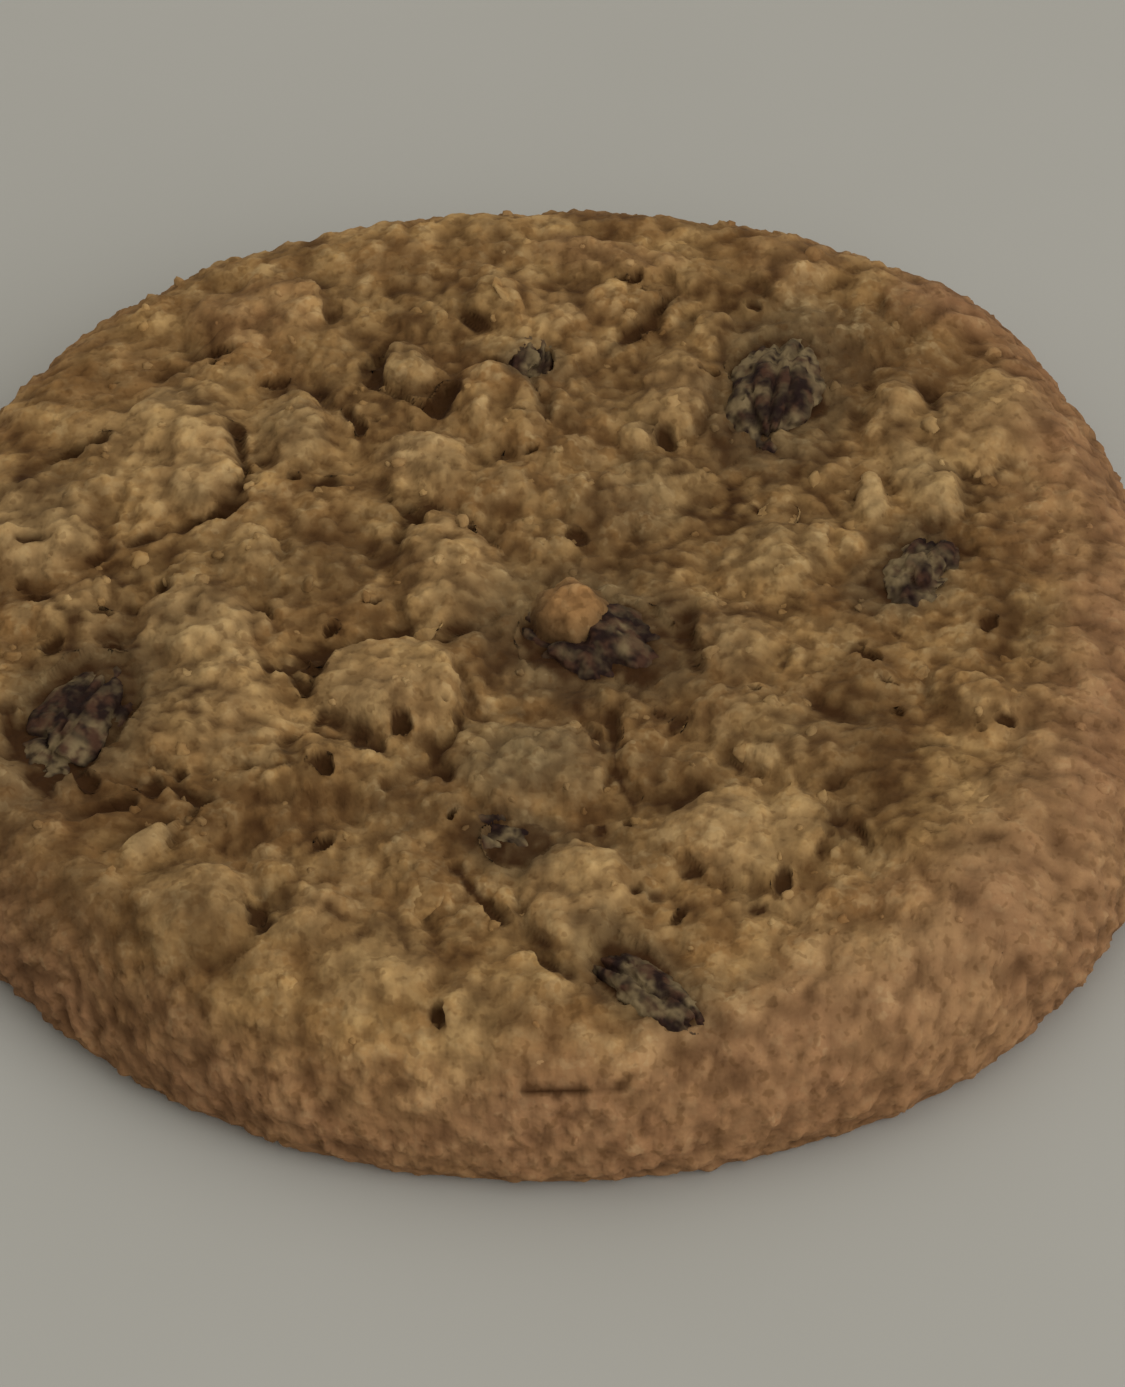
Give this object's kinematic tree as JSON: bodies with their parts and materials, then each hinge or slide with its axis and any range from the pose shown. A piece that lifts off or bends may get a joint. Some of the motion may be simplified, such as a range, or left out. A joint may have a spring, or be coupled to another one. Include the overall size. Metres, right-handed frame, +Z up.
{
  "type": "oatmeal raisin cookie",
  "caption": "Round drop cookie with a craggy oat-flaked top, raisins bedded in the dough, a sandy rounded rim and a flat underside.",
  "frame": {"origin": "middle of the flat underside, where the cookie rests", "axes": "+Z up through the craggy top, +Y away from the side that faces the viewer, +X to the viewer's right"},
  "size_m": [0.0819, 0.0836, 0.0125],
  "materials": {
    "baked_dough": "dry and crumbly",
    "raisin_skin": "wrinkled, half dusted with flour and dough"
  },
  "bodies": {
    "root": {"cookie": "baked_dough", "raisin_back_right": "raisin_skin", "raisin_right": "raisin_skin", "raisin_centre": "raisin_skin", "raisin_left": "raisin_skin", "raisin_front": "raisin_skin", "raisin_back": "raisin_skin", "raisin_buried": "raisin_skin"}
  },
  "joints": []
}
